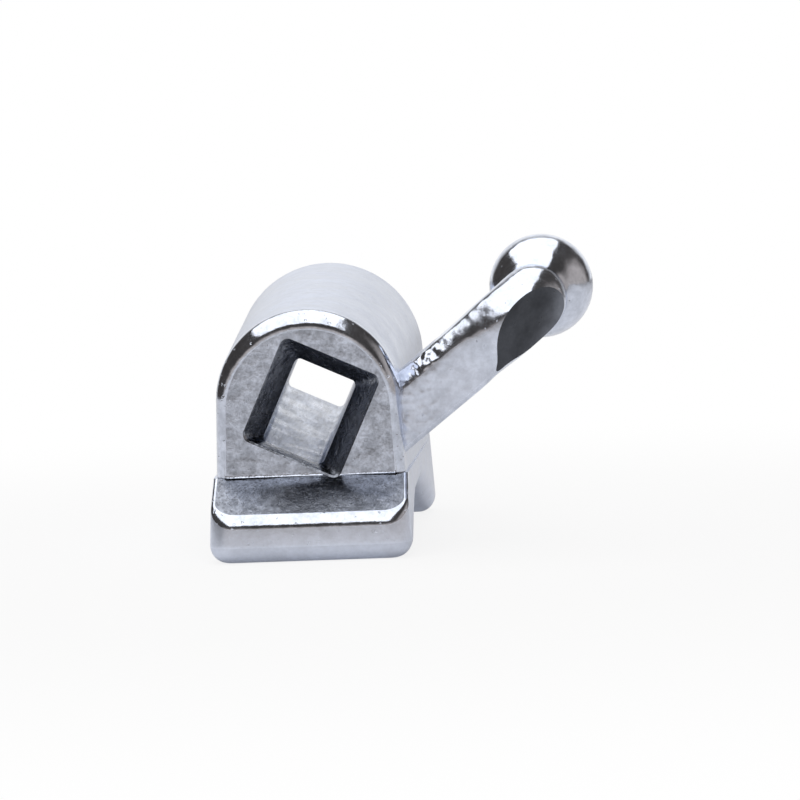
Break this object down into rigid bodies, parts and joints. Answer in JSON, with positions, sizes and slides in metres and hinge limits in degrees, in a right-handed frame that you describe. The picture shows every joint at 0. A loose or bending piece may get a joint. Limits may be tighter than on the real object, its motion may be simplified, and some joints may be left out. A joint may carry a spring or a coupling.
{
  "type": "buccal tube",
  "caption": "One-piece orthodontic molar tube: arched body with a torqued rectangular archwire slot, funnel mouth, hollowed bonding pad with a sloped ledge, and a ball hook.",
  "frame": {"origin": "middle of the flat land at the mesial end of the bonding pad's underside", "axes": "+X gingival, to the hook's side; +Y from the mesial mouth to the distal end, along the underside; +Z buccal, away from the tooth"},
  "size_m": [0.0027, 0.0037, 0.0021],
  "materials": {
    "steel": "fine matte sintered grain, with polished rims, hook and funnel"
  },
  "bodies": {
    "root": {"buccal_tube": "steel"}
  },
  "joints": []
}
